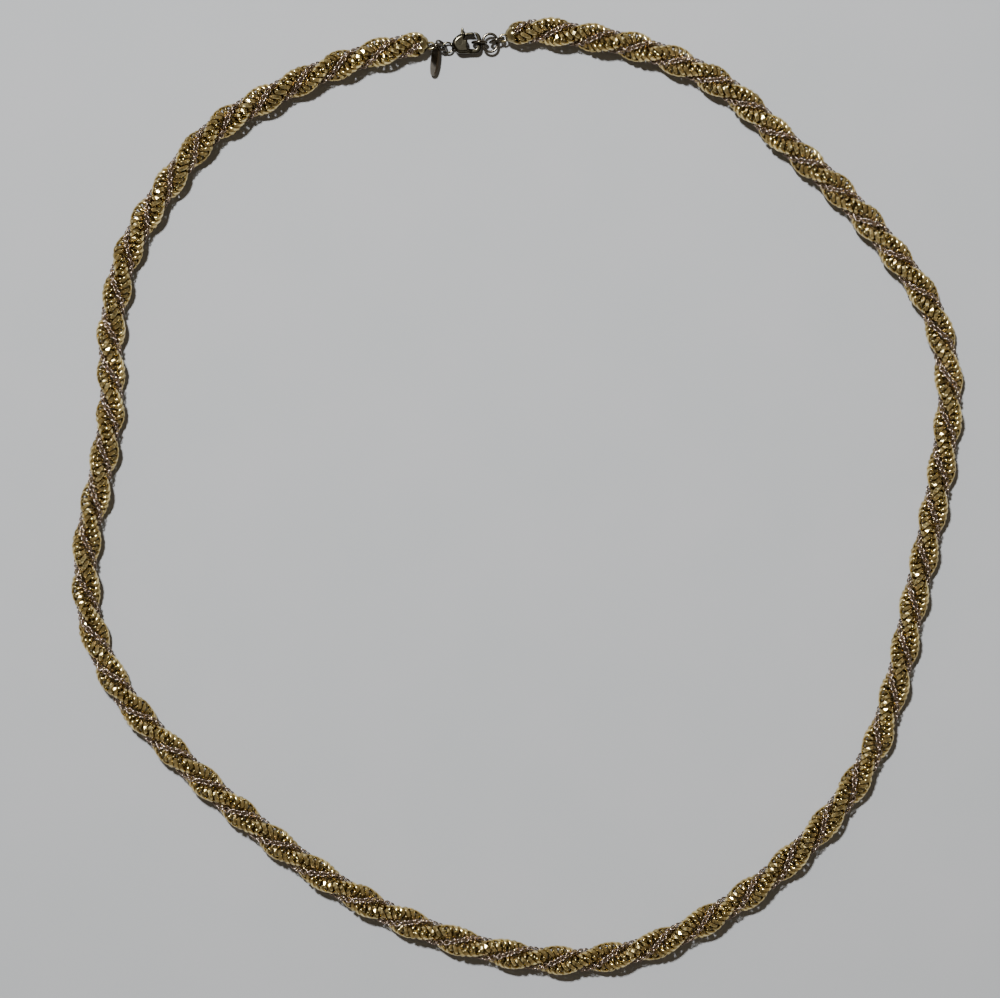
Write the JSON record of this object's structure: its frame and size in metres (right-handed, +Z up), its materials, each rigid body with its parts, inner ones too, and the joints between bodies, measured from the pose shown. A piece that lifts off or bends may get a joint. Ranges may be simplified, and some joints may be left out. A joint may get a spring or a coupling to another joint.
{
  "type": "rope chain necklace",
  "caption": "Twisted rope chain necklace of thick and fine strands, fastened with a lobster clasp and lying in an open oval loop.",
  "frame": {"origin": "middle of the loop's outline, on the surface that it lies on", "axes": "+Z up out of the surface, +Y from the middle of the loop towards the clasp, +X to the right seen from above"},
  "size_m": [0.1928, 0.207, 0.0065],
  "materials": {
    "gold_strand": "polished yellow gold tone with darker gaps",
    "rose_grey_strand": "fine links in a pinkish grey tone",
    "gold_cap": "smooth solder, bright",
    "aged_brass": "dulled brass wire",
    "dark_brass": "dulled cast brass"
  },
  "bodies": {
    "necklace": {"strand_thick_a": "gold_strand", "strand_thick_b": "gold_strand", "strand_fine_a": "rose_grey_strand", "strand_fine_b": "rose_grey_strand", "end_cap_left": "gold_cap", "end_cap_right": "gold_cap", "tag_ring": "aged_brass", "hang_tag": "aged_brass", "slant_ring": "aged_brass", "clasp_body": "dark_brass", "clasp_rivet": "aged_brass", "hook_ring": "aged_brass", "oval_ring": "aged_brass", "cap_ring": "aged_brass"},
    "lever": {"clasp_lever": "dark_brass"}
  },
  "joints": [
    {"name": "lever_turn", "type": "hinge", "parent": "necklace", "child": "lever", "pos_m": [-0.01246, 0.09811, 0.00145], "axis": [0, 0, -1], "range_deg": [0, 16], "stiffness_Nm_per_rad": 0.002, "springref_deg": -28.65}
  ]
}
